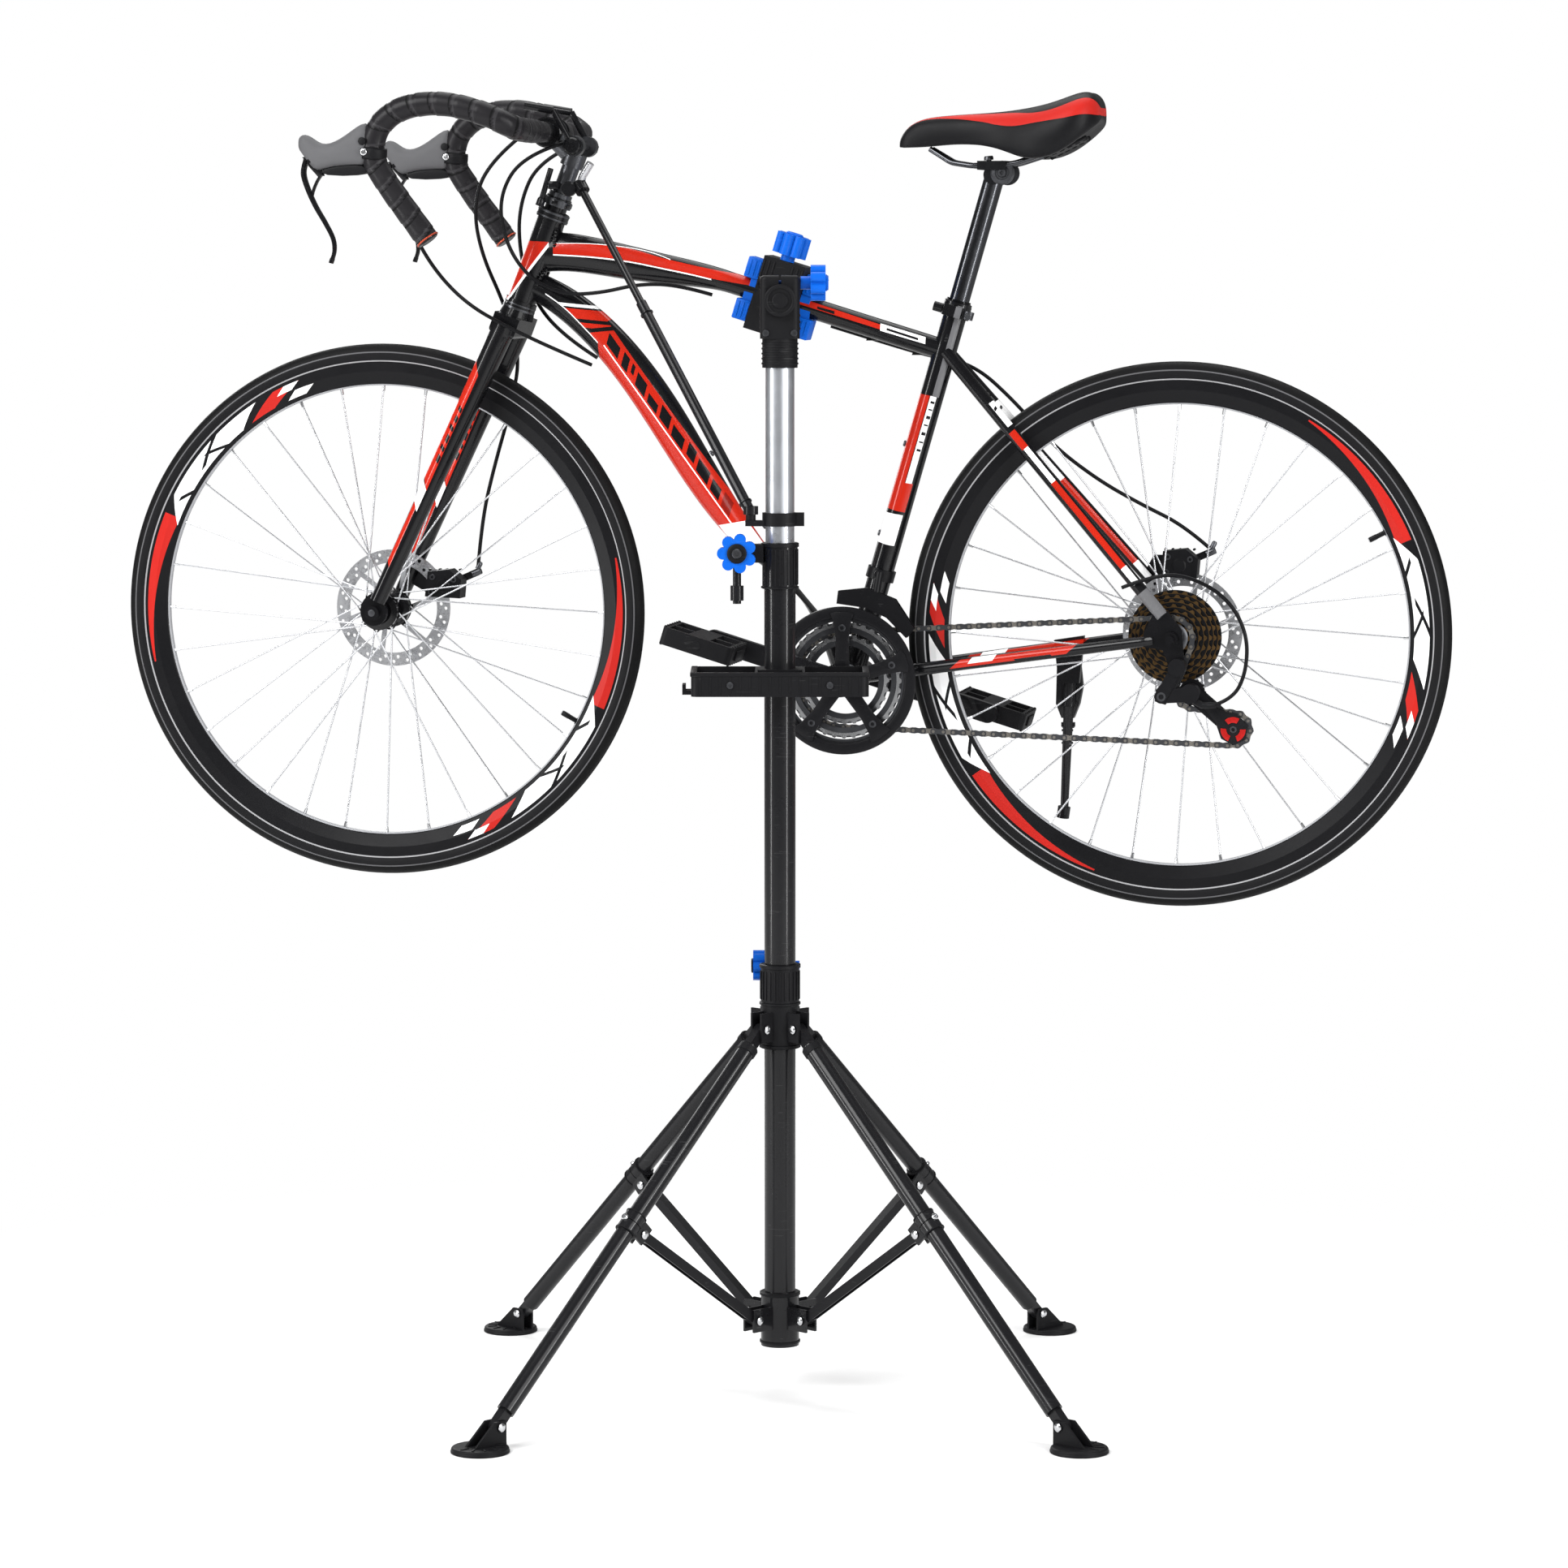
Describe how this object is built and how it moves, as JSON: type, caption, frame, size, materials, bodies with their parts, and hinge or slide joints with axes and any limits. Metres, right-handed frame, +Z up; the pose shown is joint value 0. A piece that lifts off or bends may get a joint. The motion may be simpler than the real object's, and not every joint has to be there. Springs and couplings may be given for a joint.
{
  "type": "bicycle on stand",
  "caption": "Road bicycle with drop handlebar, disc brakes and deep rims, held by its top tube in the clamp of a folding repair stand with tool tray.",
  "frame": {"origin": "on the floor under the middle of the bounding box, 52 mm in front of the stand mast along -X", "axes": "+X towards the bicycle's rear wheel, +Y across the bicycle away from its drive side, +Z up; the stand itself is turned 11 degrees about its mast"},
  "size_m": [1.6955, 0.9046, 1.5888],
  "materials": {
    "frame_paint": "gloss black with red and white panels",
    "stand_tube": "satin black",
    "stand_strut": "satin black",
    "mast_silver": "brushed",
    "stand_plastic": "fine texture",
    "knob_blue": "smooth",
    "jaw_plastic": "fine texture",
    "rod_black": "satin black",
    "rod_silver": "satin",
    "tyre_black": "matt",
    "rim_black": "satin black",
    "hub_black": "satin black",
    "drive_black": "satin black",
    "cog_bronze": "bronze brown",
    "chain_steel": "oiled",
    "mech_black": "satin black",
    "pedal_black": "matt",
    "bar_tape": "soft, matt",
    "hood_rubber": "matt",
    "lever_black": "satin",
    "saddle_cover": "satin black with a red stripe",
    "cable_black": "smooth"
  },
  "bodies": {
    "base": {"mast_outer_tube": "stand_tube", "tool_tray": "stand_plastic"},
    "mast_knob": {"mast_clamp_knob": "knob_blue"},
    "leg_carrier": {"upper_leg_collar": "stand_plastic"},
    "carrier_knob": {"collar_knob": "knob_blue"},
    "inner_mast": {"mast_inner_tube": "mast_silver", "head_housing": "stand_plastic", "rod_clip": "stand_plastic"},
    "lock_knob": {"tilt_lock_knob": "knob_blue"},
    "frame": {"clamp_head": "jaw_plastic", "head_and_top_tube": "frame_paint", "down_tube": "frame_paint", "seat_tube": "frame_paint", "seat_stays": "frame_paint", "chain_stays": "frame_paint", "chain": "chain_steel", "rear_derailleur": "mech_black", "front_derailleur": "mech_black", "rear_caliper": "mech_black", "rear_cables": "cable_black"},
    "jaw": {"clamp_jaw": "jaw_plastic"},
    "jaw_knob": {"clamp_screw_knob": "knob_blue"},
    "rod_outer": {"holder_rod_outer": "rod_black"},
    "rod_inner": {"holder_rod_inner": "rod_silver"},
    "steering": {"fork": "frame_paint", "stem": "hub_black", "handlebar": "bar_tape", "brake_hoods": "hood_rubber", "front_caliper": "mech_black", "front_cables": "cable_black"},
    "front_wheel": {"front_tyre": "tyre_black", "front_rim": "rim_black", "front_hub": "hub_black"},
    "rear_wheel": {"rear_tyre": "tyre_black", "rear_rim": "rim_black", "rear_hub": "hub_black"},
    "crank": {"chainset": "drive_black"},
    "sprockets": {"cassette": "cog_bronze"},
    "near_pedal": {"pedal_near": "pedal_black"},
    "far_pedal": {"pedal_far": "pedal_black"},
    "cage": {"derailleur_cage": "mech_black"},
    "near_brake_lever": {"brake_lever_near": "lever_black"},
    "far_brake_lever": {"brake_lever_far": "lever_black"},
    "gear_levers": {"shift_levers": "lever_black"},
    "side_stand": {"kickstand": "mech_black"},
    "seat": {"seat_post": "hub_black", "saddle": "saddle_cover"},
    "seat_lever": {"seat_clamp_lever": "lever_black"},
    "leg_rear_far": {"leg_rear_far": "stand_tube"},
    "strut_rear_far": {"strut_rear_far": "stand_strut"},
    "foot_rear_far": {"foot_rear_far": "stand_plastic"},
    "leg_front_far": {"leg_front_far": "stand_tube"},
    "strut_front_far": {"strut_front_far": "stand_strut"},
    "foot_front_far": {"foot_front_far": "stand_plastic"},
    "leg_front_near": {"leg_front_near": "stand_tube"},
    "strut_front_near": {"strut_front_near": "stand_strut"},
    "foot_front_near": {"foot_front_near": "stand_plastic"},
    "leg_rear_near": {"leg_rear_near": "stand_tube"},
    "strut_rear_near": {"strut_rear_near": "stand_strut"},
    "foot_rear_near": {"foot_rear_near": "stand_plastic"}
  },
  "joints": [
    {"name": "leg_carrier_lift", "type": "slide", "parent": "base", "child": "leg_carrier", "axis": [0, 0, 1], "range_m": [0, 0.1816]},
    {"name": "leg_fold_rear_far", "type": "hinge", "parent": "leg_carrier", "child": "leg_rear_far", "pos_m": [0.06989, 0.02653, 0.45], "axis": [0.829, -0.5592, 0], "range_deg": [-42.01, 0]},
    {"name": "strut_fold_rear_far", "type": "hinge", "parent": "leg_rear_far", "child": "strut_rear_far", "pos_m": [0.1852, 0.19748, 0.22446], "axis": [0.829, -0.5592, 0], "range_deg": [0, 100.19]},
    {"name": "foot_swivel_rear_far", "type": "hinge", "parent": "leg_rear_far", "child": "foot_rear_far", "pos_m": [0.31486, 0.38971, 0.02695], "axis": [0.829, -0.5592, 0], "range_deg": [-15, 42]},
    {"name": "leg_fold_front_far", "type": "hinge", "parent": "leg_carrier", "child": "leg_front_far", "pos_m": [0.02547, 0.01789, 0.45], "axis": [0.5592, 0.829, 0], "range_deg": [-42.01, 0]},
    {"name": "strut_fold_front_far", "type": "hinge", "parent": "leg_front_far", "child": "strut_front_far", "pos_m": [-0.14548, 0.1332, 0.22446], "axis": [0.5592, 0.829, 0], "range_deg": [0, 100.19]},
    {"name": "foot_swivel_front_far", "type": "hinge", "parent": "leg_front_far", "child": "foot_front_far", "pos_m": [-0.33771, 0.26286, 0.02695], "axis": [0.5592, 0.829, 0], "range_deg": [-15, 42]},
    {"name": "leg_fold_front_near", "type": "hinge", "parent": "leg_carrier", "child": "leg_front_near", "pos_m": [0.03411, -0.02653, 0.45], "axis": [-0.829, 0.5592, 0], "range_deg": [-42.01, 0]},
    {"name": "strut_fold_front_near", "type": "hinge", "parent": "leg_front_near", "child": "strut_front_near", "pos_m": [-0.0812, -0.19748, 0.22446], "axis": [-0.829, 0.5592, 0], "range_deg": [0, 100.19]},
    {"name": "foot_swivel_front_near", "type": "hinge", "parent": "leg_front_near", "child": "foot_front_near", "pos_m": [-0.21086, -0.38971, 0.02695], "axis": [-0.829, 0.5592, 0], "range_deg": [-15, 42]},
    {"name": "leg_fold_rear_near", "type": "hinge", "parent": "leg_carrier", "child": "leg_rear_near", "pos_m": [0.07853, -0.01789, 0.45], "axis": [-0.5592, -0.829, 0], "range_deg": [-42.01, 0]},
    {"name": "strut_fold_rear_near", "type": "hinge", "parent": "leg_rear_near", "child": "strut_rear_near", "pos_m": [0.24948, -0.1332, 0.22446], "axis": [-0.5592, -0.829, 0], "range_deg": [0, 100.19]},
    {"name": "foot_swivel_rear_near", "type": "hinge", "parent": "leg_rear_near", "child": "foot_rear_near", "pos_m": [0.44171, -0.26286, 0.02695], "axis": [-0.5592, -0.829, 0], "range_deg": [-15, 42]},
    {"name": "mast_knob_turn", "type": "hinge", "parent": "base", "child": "mast_knob", "pos_m": [0.00096, -0.00992, 1.03], "axis": [0.1908, -0.9816, 0], "continuous": true},
    {"name": "carrier_knob_turn", "type": "hinge", "parent": "leg_carrier", "child": "carrier_knob", "pos_m": [0.04513, 0.03534, 0.52], "axis": [0.9816, 0.1908, 0], "continuous": true},
    {"name": "mast_lift", "type": "slide", "parent": "base", "child": "inner_mast", "axis": [0, 0, 1], "range_m": [-0.012, 0.3]},
    {"name": "lock_knob_turn", "type": "hinge", "parent": "inner_mast", "child": "lock_knob", "pos_m": [0.052, 0, 1.355], "axis": [0.9816, 0.1908, 0], "continuous": true},
    {"name": "bike_tilt", "type": "hinge", "parent": "inner_mast", "child": "frame", "pos_m": [0.052, 0, 1.334], "axis": [-0.1908, 0.9816, 0], "range_deg": [-20, 0]},
    {"name": "jaw_open", "type": "slide", "parent": "frame", "child": "jaw", "axis": [0.2934, 0, 0.956], "range_m": [0, 0.02]},
    {"name": "jaw_knob_turn", "type": "hinge", "parent": "jaw", "child": "jaw_knob", "pos_m": [0.00438, 0.217, 1.334], "axis": [0.2934, 0, 0.956], "continuous": true},
    {"name": "rod_swing", "type": "hinge", "parent": "inner_mast", "child": "rod_outer", "pos_m": [0.018, -0.01, 1.078], "axis": [0, 0, 1], "range_deg": [0, 60]},
    {"name": "rod_slide", "type": "slide", "parent": "rod_outer", "child": "rod_inner", "axis": [-0.5012, 0.4129, 0.7605], "range_m": [-0.15, 0]},
    {"name": "steering_turn", "type": "hinge", "parent": "frame", "child": "steering", "pos_m": [-0.3315, 0.245, 1.322], "axis": [0.3584, 0, 0.9336], "range_deg": [-30, 30], "deforming": ["front_cables"]},
    {"name": "front_wheel_spin", "type": "hinge", "parent": "steering", "child": "front_wheel", "pos_m": [-0.5095, 0.245, 0.9365], "axis": [0, 1, 0], "continuous": true},
    {"name": "rear_wheel_spin", "type": "hinge", "parent": "frame", "child": "rear_wheel", "pos_m": [0.508, 0.245, 0.9183], "axis": [0, 1, 0], "continuous": true},
    {"name": "crank_spin", "type": "hinge", "parent": "frame", "child": "crank", "pos_m": [0.096, 0.245, 0.86], "axis": [0, 1, 0], "continuous": true},
    {"name": "sprocket_spin", "type": "hinge", "parent": "frame", "child": "sprockets", "pos_m": [0.508, 0.245, 0.9183], "axis": [0, 1, 0], "continuous": true},
    {"name": "near_pedal_spin", "type": "hinge", "parent": "crank", "child": "near_pedal", "pos_m": [-0.06609, 0.245, 0.90956], "axis": [0, 1, 0], "continuous": true},
    {"name": "far_pedal_spin", "type": "hinge", "parent": "crank", "child": "far_pedal", "pos_m": [0.25809, 0.245, 0.81044], "axis": [0, 1, 0], "continuous": true},
    {"name": "cage_swing", "type": "hinge", "parent": "frame", "child": "cage", "pos_m": [0.533, 0.245, 0.852], "axis": [0, 1, 0], "range_deg": [-10, 10], "stiffness_Nm_per_rad": 1, "deforming": ["chain"]},
    {"name": "near_brake_pull", "type": "hinge", "parent": "steering", "child": "near_brake_lever", "pos_m": [-0.545, 0.045, 1.503], "axis": [0, 1, 0], "range_deg": [-20, 0], "stiffness_Nm_per_rad": 0.6, "springref_deg": 8.59},
    {"name": "far_brake_pull", "type": "hinge", "parent": "steering", "child": "far_brake_lever", "pos_m": [-0.545, 0.445, 1.503], "axis": [0, 1, 0], "range_deg": [-20, 0], "stiffness_Nm_per_rad": 0.6, "springref_deg": 8.59},
    {"name": "gear_lever_turn", "type": "hinge", "parent": "steering", "child": "gear_levers", "pos_m": [-0.25075, 0.245, 1.52352], "axis": [0, 1, 0], "range_deg": [-8, 20]},
    {"name": "side_stand_fold", "type": "hinge", "parent": "frame", "child": "side_stand", "pos_m": [0.364, 0.313, 0.862], "axis": [0, 1, 0], "range_deg": [-85, 0]},
    {"name": "seat_height", "type": "slide", "parent": "frame", "child": "seat", "axis": [0.2756, 0, 0.9613], "range_m": [-0.07, 0.03]},
    {"name": "seat_lever_open", "type": "hinge", "parent": "frame", "child": "seat_lever", "pos_m": [0.2467, 0.222, 1.31301], "axis": [0.2756, 0, 0.9613], "range_deg": [0, 100]}
  ],
  "couplings": [
    {"joint": "leg_fold_rear_far", "follows": "leg_carrier_lift", "rad_per_m": -4.0366},
    {"joint": "strut_fold_rear_far", "follows": "leg_carrier_lift", "rad_per_m": 9.6279},
    {"joint": "leg_fold_front_far", "follows": "leg_carrier_lift", "rad_per_m": -4.0366},
    {"joint": "strut_fold_front_far", "follows": "leg_carrier_lift", "rad_per_m": 9.6279},
    {"joint": "leg_fold_front_near", "follows": "leg_carrier_lift", "rad_per_m": -4.0366},
    {"joint": "strut_fold_front_near", "follows": "leg_carrier_lift", "rad_per_m": 9.6279},
    {"joint": "leg_fold_rear_near", "follows": "leg_carrier_lift", "rad_per_m": -4.0366},
    {"joint": "strut_fold_rear_near", "follows": "leg_carrier_lift", "rad_per_m": 9.6279},
    {"joint": "jaw_knob_turn", "follows": "jaw_open", "rad_per_m": 785.4},
    {"joint": "sprocket_spin", "follows": "crank_spin", "ratio": 2.3281}
  ]
}
